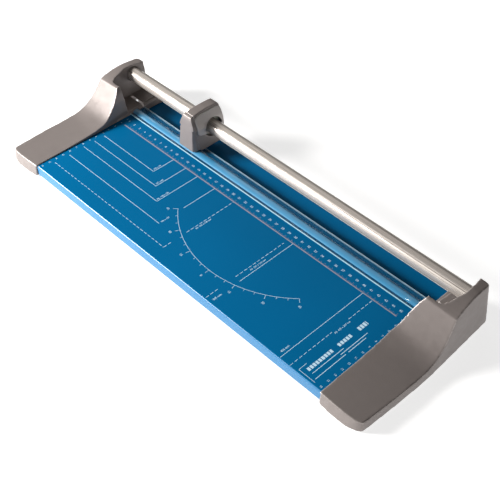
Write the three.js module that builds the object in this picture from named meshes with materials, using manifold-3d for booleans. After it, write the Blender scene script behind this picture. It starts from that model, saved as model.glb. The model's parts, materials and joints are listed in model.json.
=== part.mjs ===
// Rotary paper trimmer: a folded steel table between two moulded end caps, a guide rail over the
// cutting line, and a cutting head that rolls a round blade against a straight counter blade.
//
// Every sub-part is built in the datum frame of the cut: x from the left paper stop, y from the
// cutting line towards the rear, z up from the table top. Millimetres throughout. The last lines
// move that frame so that the origin is on the desk under the middle of the trimmer.

import * as THREE from 'three';
import { mergeVertices } from 'three/addons/utils/BufferGeometryUtils.js';
import Module from 'manifold-3d';

const wasm = await Module();
wasm.setup();

// ---------------------------------------------------------------- driving dimensions

const STOP_SPAN = 463.5; // clear width between the two paper stops
const CUT_Y = 70.15; // cutting line, from the middle of the base
const DESK_Z = -16; // desk under the rubber feet
const GAP = 0.3; // clearance between touching pieces

const SHEET = 1.2; // steel sheet of the table and the rear channel
const TABLE_FRONT = -167.2;
const APRON_Z = -13;
const CHANNEL_TOP = -8;
const CHANNEL_REAR = 30.8;
const CHANNEL_EDGE = -14.2; // lower edge of the channel's flanges
const SCREW_Z = -5.5; // counter blade screws
const RIVET_Z = -11.2; // rivets that hold table, counter blade and channel together
const BLADE_SCREWS = [40, 168, 296, 424];
const BASE_RIVETS = [104, 232, 360];

const RAIL = { y: 12, z: 28, radius: 9, bore: 6, reach: 42 };
const GROOVE = { turn: 0.72 * Math.PI, width: 1.6, depth: 1.2 }; // faces up and to the front
const RAIL_SCREW_OFFSET = 38;

const CAP_BOTTOM = -14.5; // lower edge of the moulded skirt
const WALL = 2.4;
const POCKET = { floor: 2.4, rim: 42 };
const BLADE_SLOT = { reach: 28, y0: -0.8, y1: 2.4, z: -3 }; // in the pocket floor, for the round blade
const RIB_ROWS = [-120, -70, -24];
const STUD = { radius: 1.9, inset: 7, rows: [-148, -96, -40], tip: -10.5 };
const FEET = { front: [26, -146], rear: [20, 14], radius: 7.5 }; // [offset from the stop, y]

const STRIP = { rest: 1.2, thick: 1.2, inset: 1.3 };

const HEAD_X = 104; // middle of the cutting head at rest
const HEAD_SPLIT = -13.5; // joint between the head's front cover and its housing
const BLADE = { radius: 11, back: 10.2, z: 9.5, y0: 0.35, y1: 1.05 };
const AXLE = { radius: 2, y0: -12.5, y1: 12.7 };
const ROLLER = { radius: 3.8, bore: 1.5, offset: 8.4, y0: -8.6, y1: -4.4, pin: 1.2 };
const ROLLER_Z = STRIP.rest + STRIP.thick + GAP + ROLLER.radius;
const BUSH = { inner: 9.35, outer: 13, from: 4.5, to: 8.5 };
const COVER_SCREW = { offset: 4.4, z: 45.6, radius: 1.3 };

// ---------------------------------------------------------------- materials

const finish = (color, roughness, metalness) =>
  new THREE.MeshStandardMaterial({ color, roughness, metalness });

const PAINT = finish(0x02568f, 0.32, 0.1);
const PLASTIC = finish(0x837a77, 0.55, 0);
const ALUMINIUM = finish(0xcfc6bb, 0.3, 0.9);
const STEEL = finish(0xb9bcc0, 0.35, 1);
const CLEAR = finish(0x9cc8ec, 0.15, 0);
const RUBBER = finish(0x222222, 0.9, 0);
const NYLON = finish(0xe4e1da, 0.5, 0);

// ---------------------------------------------------------------- solids and outlines

function toSolid(geometry) {
  geometry.deleteAttribute('normal');
  geometry.deleteAttribute('uv');
  const merged = mergeVertices(geometry, 1e-4);
  return new wasm.Manifold(new wasm.Mesh({
    numProp: 3,
    vertProperties: new Float32Array(merged.attributes.position.array),
    triVerts: new Uint32Array(merged.index.array),
  }));
}

function toGeometry(solid) {
  const mesh = solid.getMesh();
  const geometry = new THREE.BufferGeometry();
  geometry.setAttribute('position', new THREE.BufferAttribute(mesh.vertProperties, 3));
  geometry.setIndex(new THREE.BufferAttribute(mesh.triVerts, 1));
  geometry.computeVertexNormals();
  return geometry;
}

const join = (first, ...rest) => rest.reduce((sum, solid) => sum.add(solid), first);
const cut = (first, ...rest) => rest.reduce((left, solid) => left.subtract(solid), first);

function extruded(points, depth) {
  const shape = new THREE.Shape(points.map(([a, b]) => new THREE.Vector2(a, b)));
  return new THREE.ExtrudeGeometry(shape, { depth, bevelEnabled: false });
}

// an outline of [y, z] points swept along x
function sweepX(points, x0, x1) {
  const geometry = extruded(points, x1 - x0);
  geometry.rotateY(Math.PI / 2).rotateX(Math.PI / 2).translate(x0, 0, 0);
  return toSolid(geometry);
}

// an outline of [x, z] points swept along y
function sweepY(points, y0, y1) {
  const geometry = extruded(points, y1 - y0);
  geometry.rotateX(Math.PI / 2).translate(0, y1, 0);
  return toSolid(geometry);
}

// an outline of [x, y] points swept along z
function sweepZ(points, z0, z1) {
  return toSolid(extruded(points, z1 - z0).translate(0, 0, z0));
}

function block([x0, x1], [y0, y1], [z0, z1]) {
  const geometry = new THREE.BoxGeometry(x1 - x0, y1 - y0, z1 - z0);
  geometry.translate((x0 + x1) / 2, (y0 + y1) / 2, (z0 + z1) / 2);
  return toSolid(geometry);
}

// a round bar along one axis through the point [x, y, z], or a cone if the far end is narrower
function bar(axis, radius, [from, to], [x, y, z], sides = 20, farRadius = radius) {
  const geometry = new THREE.CylinderGeometry(farRadius, radius, to - from, sides);
  const middle = (from + to) / 2;
  if (axis === 'x') geometry.rotateZ(-Math.PI / 2).translate(middle, y, z);
  if (axis === 'y') geometry.translate(x, middle, z);
  if (axis === 'z') geometry.rotateX(Math.PI / 2).translate(x, y, middle);
  return toSolid(geometry);
}

function ring(axis, outer, inner, [from, to], at, sides = 20) {
  return cut(bar(axis, outer, [from, to], at, sides), bar(axis, inner, [from - 1, to + 1], at, sides));
}

function signedArea(points) {
  return points.reduce((sum, [a, b], i) => {
    const [c, d] = points[(i + 1) % points.length];
    return sum + (a * d - b * c) / 2;
  }, 0);
}

// a closed solid through loops of equal point count that follow one another along an axis
function loft(axis, rows) {
  const flat = { x: [1, 2], y: [2, 0], z: [0, 1] }[axis];
  const count = rows[0].length;
  const outline = rows[0].map((point) => flat.map((k) => point[k]));
  const along = 'xyz'.indexOf(axis);
  const outward = signedArea(outline) * (rows.at(-1)[0][along] - rows[0][0][along]) > 0;
  const faces = [];
  const face = (a, b, c) => faces.push(...(outward ? [a, b, c] : [a, c, b]));
  for (let base = 0; base < (rows.length - 1) * count; base += count) {
    for (let i = 0; i < count; i += 1) {
      const next = (i + 1) % count;
      face(base + i, base + next, base + count + next);
      face(base + i, base + count + next, base + count + i);
    }
  }
  const last = (rows.length - 1) * count;
  const lid = THREE.ShapeUtils.triangulateShape(outline.map(([a, b]) => new THREE.Vector2(a, b)), []);
  for (const [a, b, c] of lid) {
    const turns = signedArea([outline[a], outline[b], outline[c]]) * signedArea(outline) > 0;
    const [second, third] = turns ? [b, c] : [c, b];
    face(last + a, last + second, last + third);
    face(a, third, second);
  }
  const geometry = new THREE.BufferGeometry();
  geometry.setAttribute('position', new THREE.Float32BufferAttribute(rows.flat(2), 3));
  geometry.setIndex(faces);
  return toSolid(geometry);
}

function heading([a, b], [c, d]) {
  const length = Math.hypot(c - a, d - b);
  return [(c - a) / length, (d - b) / length];
}

// a point moved to the left of the path that runs in and out of it
function shifted(point, into, out, distance) {
  const [a, b] = [into[0] + out[0], into[1] + out[1]];
  const scale = (2 * distance) / Math.max(a * a + b * b, 1.2);
  return [point[0] - b * scale, point[1] + a * scale];
}

// closed outline of a sheet of even thickness bent along an open path
function bentSheet(path, thickness) {
  const side = (distance) => path.map((point, i) => {
    const into = i > 0 ? heading(path[i - 1], point) : heading(point, path[1]);
    const out = i < path.length - 1 ? heading(point, path[i + 1]) : into;
    return shifted(point, into, out, distance);
  });
  return [...side(-thickness / 2), ...side(thickness / 2).reverse()];
}

// an anticlockwise outline moved inwards
function inset(points, distance) {
  return points.map((point, i) => {
    const into = heading(points.at(i - 1), point);
    const out = heading(point, points[(i + 1) % points.length]);
    return shifted(point, into, out, distance);
  });
}

const mix = (a, b, t) => a + (b - a) * t;

function smooth(points, divisions) {
  const curve = new THREE.SplineCurve(points.map(([a, b]) => new THREE.Vector2(a, b)));
  return curve.getPoints(divisions).map((point) => [point.x, point.y]);
}

function arc([a, b], radius, from, to, steps = 5) {
  return Array.from({ length: steps + 1 }, (_, i) => {
    const angle = mix(from, to, i / steps) * Math.PI;
    return [a + radius * Math.cos(angle), b + radius * Math.sin(angle)];
  });
}

// rounded rectangle about x = middle
function roundedPlan(middle, half, y0, y1, radius) {
  const [left, right] = [middle - half + radius, middle + half - radius];
  return [
    ...arc([right, y0 + radius], radius, -0.5, 0),
    ...arc([right, y1 - radius], radius, 0, 0.5),
    ...arc([left, y1 - radius], radius, 0.5, 1),
    ...arc([left, y0 + radius], radius, 1, 1.5),
  ];
}

// [y, z] outline of a radial tongue on the rail's axis, in the direction of the groove
function grooveOutline(inner, outer, width) {
  const [along, across] = [Math.cos(GROOVE.turn), Math.sin(GROOVE.turn)];
  const corners = [[inner, -width / 2], [outer, -width / 2], [outer, width / 2], [inner, width / 2]];
  return corners.map(([r, s]) => [RAIL.y + r * along - s * across, RAIL.z + r * across + s * along]);
}

const datum = new THREE.Group();

function add(name, solid, material) {
  const mesh = new THREE.Mesh(toGeometry(solid), material);
  mesh.name = name;
  datum.add(mesh);
}

// the same piece at the other end of the trimmer
function addPair(name, solid, material) {
  add(`left_${name}`, solid, material);
  const mesh = new THREE.Mesh(toGeometry(solid), material);
  const position = mesh.geometry.attributes.position;
  const index = mesh.geometry.index;
  for (let i = 0; i < position.count; i += 1) {
    position.setX(i, STOP_SPAN - position.getX(i));
  }
  for (let i = 0; i < index.count; i += 3) {
    const first = index.getX(i);
    index.setX(i, index.getX(i + 1));
    index.setX(i + 1, first);
  }
  mesh.geometry.computeVertexNormals();
  mesh.name = `right_${name}`;
  datum.add(mesh);
}

// ---------------------------------------------------------------- table, channel, counter blade

function tablePlate() {
  const rear = -1.3 - SHEET / 2;
  const front = TABLE_FRONT + SHEET / 2;
  const path = [
    [rear, -12.6], [rear, -1.6], [rear - 1, -SHEET / 2],
    [front + 1.6, -SHEET / 2], [front + 0.4, -1], [front, -2.2], [front, APRON_Z],
  ];
  const plate = sweepX(bentSheet(path, SHEET), GAP, STOP_SPAN - GAP);
  const studs = [STUD.inset, STOP_SPAN - STUD.inset].flatMap((x) =>
    STUD.rows.map((y) => bar('z', STUD.radius, [STUD.tip, -SHEET / 2], [x, y, 0], 14)));
  const holes = [
    ...BLADE_SCREWS.map((x) => bar('y', 1.6, [-4, 0], [x, 0, SCREW_Z], 14)),
    ...BASE_RIVETS.map((x) => bar('y', 1.6, [-4, 0], [x, 0, RIVET_Z], 14)),
  ];
  return cut(join(plate, ...studs), ...holes);
}

function rearChannel() {
  const front = GAP + SHEET / 2;
  const rear = CHANNEL_REAR - SHEET / 2;
  const top = CHANNEL_TOP - SHEET / 2;
  const path = [
    [front, CHANNEL_EDGE], [front, top - 0.8], [front + 0.8, top],
    [rear - 0.8, top], [rear, top - 0.8], [rear, CHANNEL_EDGE],
  ];
  const channel = sweepX(bentSheet(path.reverse(), SHEET), -2.2, STOP_SPAN + 2.2);
  return cut(channel, ...BASE_RIVETS.map((x) => bar('y', 1.6, [0, 3], [x, 0, RIVET_Z], 14)));
}

function counterBlade() {
  const blade = block([0.6, STOP_SPAN - 0.6], [-1, 0], [-12.6, 0.25]);
  return cut(
    blade,
    ...BLADE_SCREWS.map((x) => bar('y', 1.6, [-2, 1], [x, 0, SCREW_Z], 14)),
    ...BASE_RIVETS.map((x) => bar('y', 1.6, [-2, 1], [x, 0, RIVET_Z], 14)),
  );
}

function buildBase() {
  add('table_plate', tablePlate(), PAINT);
  add('rear_channel', rearChannel(), PAINT);
  add('counter_blade', counterBlade(), STEEL);
  BLADE_SCREWS.forEach((x, i) => {
    const shank = bar('y', 1.3, [-5, 0.5], [x, 0, SCREW_Z], 14);
    const head = bar('y', 2.1, [GAP, 1.3], [x, 0, SCREW_Z], 14);
    add(`counter_blade_screw_${i + 1}`, join(shank, head), STEEL);
  });
  BASE_RIVETS.forEach((x, i) => {
    const shank = bar('y', 1.3, [-4, 3], [x, 0, RIVET_Z], 14);
    const heads = [[-4, -2.8], [1.8, 3]].map((span) => bar('y', 1.7, span, [x, 0, RIVET_Z], 14));
    add(`base_rivet_${i + 1}`, join(shank, ...heads), STEEL);
  });
}

// ---------------------------------------------------------------- end caps

// top of the cap along the paper stop, [y, z] from front to rear: ramp, then rim of the pocket
const INNER_RAMP = [
  [-180, 1.4], [-128, 1.7], [-89, 3.4], [-72, 5.8], [-62, 8.6],
  [-54, 14.1], [-45.4, 22.8], [-38.2, 32.7], [-32.6, 40.3],
];
const INNER_RIM = [[-32.6, 40.3], [-25, 41.4], [-5, 43.2], [14, 43], [36, 40.6]];

// the same along the outer edge, which lies lower and rises later
const OUTER_RAMP = [
  [-180, -2.3], [-126, -3], [-84, -3.2], [-70, -2], [-60, 0.8],
  [-53, 4.6], [-44.5, 11.4], [-37, 20.6], [-29.2, 32.8],
];
const OUTER_RIM = [[-29.2, 32.8], [-22, 36], [-8, 39.6], [8, 40.6], [36, 37.6]];

// plan of the skirt: offset from the stop, y, and how far each moves per millimetre of height
const SKIRT_PLAN = [
  [-1, -170.1, 0, 0.07], [12, -171.6, 0, 0.17], [25, -172.3, 0, 0.26], [38, -171.3, 0, 0.24],
  [46, -168.6, -0.03, 0.15], [50.4, -165.6, -0.08, 0.1], [51.4, -162, -0.09, 0],
  [52.3, -145, -0.09, 0], [53.5, -122, -0.09, 0], [54.6, -88, -0.09, 0], [54.4, -62, -0.09, 0],
  [53.3, -38, -0.09, 0], [52.2, -15, -0.09, 0], [51, 10, -0.09, 0], [50.3, 27.5, -0.09, -0.05],
  [49.2, 31, -0.09, -0.06], [46, 32, -0.09, -0.06], [20, 32, 0, -0.06], [-1, 32, 0, -0.06],
];

// head pocket in plan, [offset, y], at its floor and at its rim
const POCKET_FLOOR = [
  [-12, -24.4], [3, -24.4], [22, -24], [27, -22.5], [30, -18.5], [31, -8],
  [31.5, 8], [31, 20], [30.5, 40], [-12, 40],
];
const POCKET_RIM = [
  [-12, -27.6], [12, -27.6], [23.5, -27.2], [28, -25], [30.5, -20], [32.5, -10],
  [35.5, 4], [35, 16], [31.5, 44], [-12, 44],
];

// paper-side face of the ramp block, [offset, z]; it is skewed outwards towards the rear
const BLOCK_FACE = [
  [-1, 0.2], [-1, 6], [-0.6, 7.5], [0.8, 14], [1.9, 22.8], [4.6, 32.7], [7.8, 38.7], [9, 40.3],
  [12, 44], [12, 50], [-12, 50], [-12, 0.2],
];
const BLOCK_SKEW = { from: -64, rate: 0.1 };

function capShell(depth) {
  const [inner, outer] = [[INNER_RAMP, INNER_RIM], [OUTER_RAMP, OUTER_RIM]].map(([ramp, rim]) => {
    const top = [...smooth(ramp, 24), ...smooth(rim, 8).slice(1)];
    const bottom = CAP_BOTTOM - 4 * depth;
    return inset([[36, bottom], ...top.reverse(), [-180, bottom]], depth);
  });
  const offsets = [-1, 8, 17, 26, 35, 44, 60];
  return loft('x', offsets.map((offset) => inner.map(([y, z], i) => {
    const t = (offset + 1) / 54;
    return [-offset, mix(y, outer[i][0], t), mix(z, outer[i][1], t)];
  })));
}

function skirt(depth) {
  const rows = [CAP_BOTTOM - 2 * depth, 2, 60].map((z) => {
    const rise = z - CAP_BOTTOM;
    const loop = SKIRT_PLAN.map(([o, y, lean, rake]) => [o + lean * rise, y + rake * rise]);
    return inset(loop, depth).map(([o, y]) => [-o, y, z]);
  });
  return loft('z', rows);
}

function headPocket(depth) {
  const rows = [POCKET.floor, 60].map((z) => {
    const t = (z - POCKET.floor) / (POCKET.rim - POCKET.floor);
    const loop = POCKET_FLOOR.map(([o, y], i) => [mix(o, POCKET_RIM[i][0], t), mix(y, POCKET_RIM[i][1], t)]);
    return inset(loop, -depth).map(([o, y]) => [-o, y, z === 60 ? z : z - depth]);
  });
  return loft('z', rows);
}

function blockFace(depth) {
  return loft('y', [-90, 60].map((y) => {
    const skew = BLOCK_SKEW.rate * (y - BLOCK_SKEW.from);
    return BLOCK_FACE.map(([o, z]) => [-(o + skew + depth), y, z - depth]);
  }));
}

function endCap() {
  const outside = cut(capShell(0).intersect(skirt(0)), headPocket(0), blockFace(0));
  const hollow = cut(capShell(WALL).intersect(skirt(WALL)), headPocket(WALL), blockFace(WALL));
  const ribs = RIB_ROWS.map((y) => block([-60, -1], [y - 0.8, y + 0.8], [CAP_BOTTOM + 1.5, 20]));
  const bosses = [FEET.front, FEET.rear].map(([o, y]) =>
    bar('z', FEET.radius, [CAP_BOTTOM + 1, POCKET.floor], [-o, y, 0]));
  const socket = bar('x', RAIL.radius + 2.8, [-44, -29], [0, RAIL.y, RAIL.z], 32);
  const column = bar('z', 5, [CAP_BOTTOM + 1.5, RAIL.z - 8], [-RAIL_SCREW_OFFSET, RAIL.y, 0]);
  const recessWall = block([-4.7, 0], [-0.7, 29.4], [CAP_BOTTOM, POCKET.floor]);
  const inside = join(...ribs, ...bosses, socket, column, recessWall).intersect(outside);

  const tableShelf = block([-2, 14], [-158, -30], [-4.6, -SHEET - 0.4]);
  const channelShelf = block([-4, 14], [4, 27], [-12.4, CHANNEL_TOP - SHEET - 0.4]);
  const cap = join(cut(outside, hollow), inside, tableShelf, channelShelf);

  const recess = sweepZ([[6, 40], [-2.5, 40], ...arc([1.5, 5.5], 4, 1, 1.5), [6, 1.5]], -7.7, 60);
  const holes = [
    block([0, 2], [-180, 1], [-30, GAP]).subtract(tableShelf),
    block([0, 2], [-27, 60], [GAP, 60]),
    block([-2.5, 2], [0, CHANNEL_REAR + GAP], [-30, -7.7]).subtract(channelShelf),
    recess,
    block([-BLADE_SLOT.reach, 2], [BLADE_SLOT.y0, BLADE_SLOT.y1], [BLADE_SLOT.z, POCKET.floor + 1]),
    bar('x', RAIL.radius + GAP, [-RAIL.reach - 0.6, -20], [0, RAIL.y, RAIL.z], 32),
    bar('z', 1.8, [-20, RAIL.z], [-RAIL_SCREW_OFFSET, RAIL.y, 0], 14),
    ...STUD.rows.map((y) => bar('z', STUD.radius + GAP, [-10, 0], [STUD.inset, y, 0], 14)),
    ...[FEET.front, FEET.rear].map(([o, y]) => bar('z', 2.8, [-20, -8], [-o, y, 0], 14)),
  ];
  return cut(cap, ...holes);
}

function rubberFoot([offset, y]) {
  const pad = bar('z', FEET.radius, [DESK_Z, CAP_BOTTOM + 0.7], [-offset, y, 0], 28);
  return join(pad, bar('z', 2.5, [CAP_BOTTOM, -8.5], [-offset, y, 0], 14));
}

function hexNut(y) {
  const at = [STUD.inset, y, 0];
  return cut(bar('z', 4, [-8.1, -4.9], at, 6), bar('z', STUD.radius + GAP, [-9, -4], at, 14));
}

function railScrew() {
  const at = [-RAIL_SCREW_OFFSET, RAIL.y, 0];
  const under = CAP_BOTTOM + 1.5;
  return join(bar('z', 1.5, [under - 1, RAIL.z - 7], at, 14), bar('z', 3.4, [under - 1.4, under - GAP], at, 14));
}

function buildCaps() {
  addPair('end_cap', endCap(), PLASTIC);
  addPair('front_foot', rubberFoot(FEET.front), RUBBER);
  addPair('rear_foot', rubberFoot(FEET.rear), RUBBER);
  addPair('rail_screw', railScrew(), STEEL);
  STUD.rows.forEach((y, i) => addPair(`cap_nut_${i + 1}`, hexNut(y), STEEL));
}

// ---------------------------------------------------------------- guide rail and clamp strip

function guideRail() {
  const [from, to] = [-RAIL.reach, STOP_SPAN + RAIL.reach];
  const tube = ring('x', RAIL.radius, RAIL.bore, [from, to], [0, RAIL.y, RAIL.z], 48);
  const groove = sweepX(
    grooveOutline(RAIL.radius - GROOVE.depth, RAIL.radius + 2, GROOVE.width), from - 1, to + 1);
  const holes = [-RAIL_SCREW_OFFSET, STOP_SPAN + RAIL_SCREW_OFFSET].map((x) =>
    bar('z', 1.8, [RAIL.z - RAIL.radius - 2, RAIL.z], [x, RAIL.y, 0], 14));
  return cut(tube, groove, ...holes);
}

function clampStrip() {
  const flat = STRIP.rest + STRIP.thick / 2;
  const path = [
    [-25, flat + 1.3], [-24.3, flat + 0.1], [-21.8, flat], [-20.4, flat + 0.7], [-18.2, flat + 2],
    [-15.3, flat + 2.5], [-12.4, flat + 2], [-10.2, flat + 0.7], [-8.8, flat], [-2.2, flat],
  ];
  return sweepX(bentSheet(path, STRIP.thick), STRIP.inset, STOP_SPAN - STRIP.inset);
}

function clampSpring() {
  const path = [[6, 0.5], [8, 0.5], [10.5, 1.1], [14, 2.3], [17.5, 1.1], [20, 0.5], [22, 0.5]];
  return sweepY(bentSheet(path, 0.35), -17.5, -13);
}

function buildRailAndClamp() {
  add('guide_rail', guideRail(), ALUMINIUM);
  add('clamp_strip', clampStrip(), CLEAR);
  addPair('clamp_spring', clampSpring(), STEEL);
}

// ---------------------------------------------------------------- cutting head

// half width of the head at each height: lower skirt, and the hood over the rail
const SKIRT_WIDTHS = [[2, 15.2], [10, 14.3], [20, 13], [31, 11.9], [45, 8.6], [56, 5]];
const HOOD_WIDTHS = [[12, 14.4], [34, 13.4], [40, 11.6], [45, 9.4], [49, 7.6], [52, 6.2], [56, 4.6]];
const HOOD_EDGE = [[-30, 40], [-4, 28.4], [8, 22.4], [15, 19], [34, 17], [34, 70], [-30, 70]];

// [y, z] outline of the head from the side
const HEAD_SIDE = [
  [-21.4, 5.6], [-10.4, 5.6], [-9.2, 3], [26.5, 3], [29.4, 6], [29.8, 22], [28.8, 40],
  [27.8, 49], [26.2, 51.8], [20, 53], [8, 53.6], [-6, 53], [-14.5, 51.9], [-17.2, 50.6],
  [-18.2, 47], [-20.2, 24],
];

function headBody() {
  const shell = (widths) => loft('z', widths.map(([z, half]) =>
    roundedPlan(HEAD_X, half, -22, 30.2, Math.min(6, half - 1)).map(([x, y]) => [x, y, z])));
  const hood = shell(HOOD_WIDTHS).intersect(sweepX(HOOD_EDGE, HEAD_X - 30, HEAD_X + 30));
  return join(shell(SKIRT_WIDTHS), hood).intersect(sweepX(HEAD_SIDE, HEAD_X - 30, HEAD_X + 30));
}

function headHousing(body) {
  const rear = body.intersect(block([HEAD_X - 30, HEAD_X + 30], [HEAD_SPLIT + GAP / 2, 40], [0, 60]));
  const axis = [0, RAIL.y, RAIL.z];
  const middle = [HEAD_X, 0, BLADE.z];
  const roomY = [2.2, 13.2];
  const tunnel = bar('x', RAIL.radius + 1, [HEAD_X - 20, HEAD_X + 20], axis, 32);
  const mouths = [-1, 1].map((side) => {
    const span = [HEAD_X + side * (BUSH.from - GAP), HEAD_X + side * 20].sort((a, b) => a - b);
    return bar('x', BUSH.outer + GAP, span, axis, 40);
  });
  const bladeSlot = block([HEAD_X - 11.9, HEAD_X + 11.9], [-0.6, 2.2], [0, BLADE.z + 11.6]);
  const hubRoom = bar('y', 6.5, roomY, middle);
  const hubSlot = block([HEAD_X - 6.5, HEAD_X + 6.5], roomY, [0, BLADE.z]);
  const axleHole = bar('y', AXLE.radius + GAP, [AXLE.y0 - GAP, 3], middle);
  const rollerRooms = [-1, 1].map((side) => {
    const x = HEAD_X + side * ROLLER.offset;
    return block([x - 4.3, x + 4.3], [-9, -4], [0, ROLLER_Z + 4.4]);
  });
  const pinHoles = [-1, 1].map((side) =>
    bar('y', ROLLER.bore, [AXLE.y0 - GAP, -0.9], [HEAD_X + side * ROLLER.offset, 0, ROLLER_Z], 14));
  const screwHoles = [-1, 1].flatMap((side) => {
    const at = [HEAD_X + side * COVER_SCREW.offset, 0, COVER_SCREW.z];
    return [bar('y', COVER_SCREW.radius + GAP, [-20, 10], at, 14), bar('y', 2.7, [5.7, 40], at, 16)];
  });
  return cut(rear, tunnel, ...mouths, bladeSlot, hubRoom, hubSlot, axleHole,
    ...rollerRooms, ...pinHoles, ...screwHoles);
}

function headCover(body) {
  const front = body.intersect(block([HEAD_X - 30, HEAD_X + 30], [-40, HEAD_SPLIT - GAP / 2], [0, 60]));
  return cut(front, ...[-1, 1].map((side) => {
    const at = [HEAD_X + side * COVER_SCREW.offset, 0, COVER_SCREW.z];
    return bar('y', COVER_SCREW.radius + GAP, [-16.5, -10], at, 14);
  }));
}

// the bush carries a key that runs in the rail's groove and keeps the head upright
function glideBush(side) {
  const span = [HEAD_X + side * BUSH.from, HEAD_X + side * BUSH.to].sort((a, b) => a - b);
  const sleeve = ring('x', BUSH.outer, BUSH.inner, span, [0, RAIL.y, RAIL.z], 40);
  const key = grooveOutline(RAIL.radius - GROOVE.depth + 0.4, BUSH.inner + 1, GROOVE.width - 0.6);
  return join(sleeve, sweepX(key, ...span));
}

// compression spring that holds the round blade against the counter blade
class CoilCurve extends THREE.Curve {
  getPoint(t) {
    const angle = 2 * Math.PI * 4 * t;
    return new THREE.Vector3(3.4 * Math.cos(angle), mix(5.8, 8.6, t), 3.4 * Math.sin(angle));
  }
}

function bladeSpring() {
  const section = new THREE.Shape(arc([0, 0], 0.35, 0, 1.75, 7).map(([a, b]) => new THREE.Vector2(a, b)));
  const options = { steps: 56, extrudePath: new CoilCurve(), bevelEnabled: false };
  return toSolid(new THREE.ExtrudeGeometry(section, options).translate(HEAD_X, 0, BLADE.z));
}

function buildHead() {
  const body = headBody();
  const middle = [HEAD_X, 0, BLADE.z];
  add('head_housing', headHousing(body), PLASTIC);
  add('head_front_cover', headCover(body), PLASTIC);
  add('left_glide_bush', glideBush(-1), NYLON);
  add('right_glide_bush', glideBush(1), NYLON);
  add('blade_axle', bar('y', AXLE.radius, [AXLE.y0, AXLE.y1], middle), STEEL);
  const disc = bar('y', BLADE.radius, [BLADE.y0, BLADE.y1], middle, 48, BLADE.back);
  const bore = bar('y', AXLE.radius + GAP, [-1, 3], middle);
  add('round_blade', cut(disc, bore), STEEL);
  add('blade_hub', ring('y', 4.6, AXLE.radius + GAP, [BLADE.y1 + GAP, 5], middle), NYLON);
  add('blade_spring', bladeSpring(), STEEL);
  add('blade_washer', ring('y', 4.6, AXLE.radius + GAP, [9.4, 10.2], middle), STEEL);
  const nut = bar('y', 3.8, [10.5, 12.5], middle, 6);
  add('axle_nut', cut(nut, bar('y', AXLE.radius + GAP, [9, 14], middle)), STEEL);
  for (const [name, side] of [['left', -1], ['right', 1]]) {
    const at = [HEAD_X + side * ROLLER.offset, 0, ROLLER_Z];
    add(`${name}_roller_pin`, bar('y', ROLLER.pin, [AXLE.y0, -1.2], at, 14), STEEL);
    add(`${name}_press_roller`, ring('y', ROLLER.radius, ROLLER.bore, [ROLLER.y0, ROLLER.y1], at, 24), RUBBER);
    const screwAt = [HEAD_X + side * COVER_SCREW.offset, 0, COVER_SCREW.z];
    const shank = bar('y', COVER_SCREW.radius, [-16.2, 6.5], screwAt, 14);
    add(`${name}_cover_screw`, join(shank, bar('y', 2.4, [6, 7.6], screwAt, 14)), STEEL);
  }
}

// ---------------------------------------------------------------- assembly

buildBase();
buildCaps();
buildRailAndClamp();
buildHead();

datum.position.set(-STOP_SPAN / 2, CUT_Y, -DESK_Z);
const trimmer = new THREE.Group();
trimmer.add(datum);
export default trimmer;
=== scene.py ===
"""Looks for the rotary paper trimmer.

Lengths are millimetres in the datum frame of the cut: x from the left paper stop, y from the cutting
line towards the rear, z up from the table top. point() turns them into metres in the shared frame.
"""

import json
import math

import bmesh
import bpy
import numpy as np
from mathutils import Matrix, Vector, kdtree


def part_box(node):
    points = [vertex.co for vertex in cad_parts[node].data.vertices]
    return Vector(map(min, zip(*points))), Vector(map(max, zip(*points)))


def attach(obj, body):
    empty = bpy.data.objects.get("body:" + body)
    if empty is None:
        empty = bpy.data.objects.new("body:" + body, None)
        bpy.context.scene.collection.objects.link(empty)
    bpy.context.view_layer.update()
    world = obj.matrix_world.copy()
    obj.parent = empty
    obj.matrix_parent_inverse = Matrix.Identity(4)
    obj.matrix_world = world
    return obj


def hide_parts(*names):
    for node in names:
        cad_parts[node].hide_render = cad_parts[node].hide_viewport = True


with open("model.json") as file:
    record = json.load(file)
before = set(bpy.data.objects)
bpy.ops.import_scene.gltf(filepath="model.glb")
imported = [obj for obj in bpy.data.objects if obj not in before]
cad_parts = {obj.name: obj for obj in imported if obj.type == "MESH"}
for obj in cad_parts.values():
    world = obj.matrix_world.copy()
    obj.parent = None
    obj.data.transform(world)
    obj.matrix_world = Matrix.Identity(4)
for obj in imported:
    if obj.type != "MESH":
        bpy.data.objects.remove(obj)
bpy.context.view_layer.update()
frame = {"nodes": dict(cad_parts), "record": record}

MM = 0.001  # metres
GAP = 0.3  # clearance between touching pieces
table_low, table_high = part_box("table_plate")
ORIGIN = Vector((table_low.x - GAP * MM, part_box("counter_blade")[1].y, table_high.z))


def point(x, y, z):
    return ORIGIN + Vector((x, y, z)) * MM


def millimetres(corner):
    return (corner - ORIGIN) / MM


def span(node):
    """Lowest and highest corner of a CAD node in millimetres from the datum."""
    return tuple(millimetres(corner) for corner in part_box(node))


def linked(name, data):
    """A new object in the scene."""
    made = bpy.data.objects.new(name, data)
    bpy.context.scene.collection.objects.link(made)
    return made


# ---------------------------------------------------------------- camera, floor and lights

CAMERA = {
    "place": (815.3, -602.2, 749.5),
    "towards": (-0.5076, 0.4912, -0.7078),
    "lens": 69.9,
    "sensor": 36,
    "nearest": 0.01,  # metres
}
FLOOR_SIZE = 60  # metres
LIGHTS = (
    # name, place and size in metres, power in watts, colour
    ("key", (-1.0, -0.98, 0.62), 0.5, 61, (1, 0.985, 0.96)),
    ("rear", (-0.75, 0.73, 1.05), 1, 1.8, (1, 0.97, 0.94)),
    ("fill", (1.2, -0.6, 0.28), 0.7, 4.5, (1, 0.98, 0.96)),
)
WORLD = {"colour": (0.36, 0.34, 0.32), "strength": 0.12}


def aim(made, direction):
    """Turns a camera or a light to look along the direction."""
    made.rotation_mode = "QUATERNION"
    made.rotation_quaternion = Vector(direction).to_track_quat("-Z", "Y")


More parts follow.
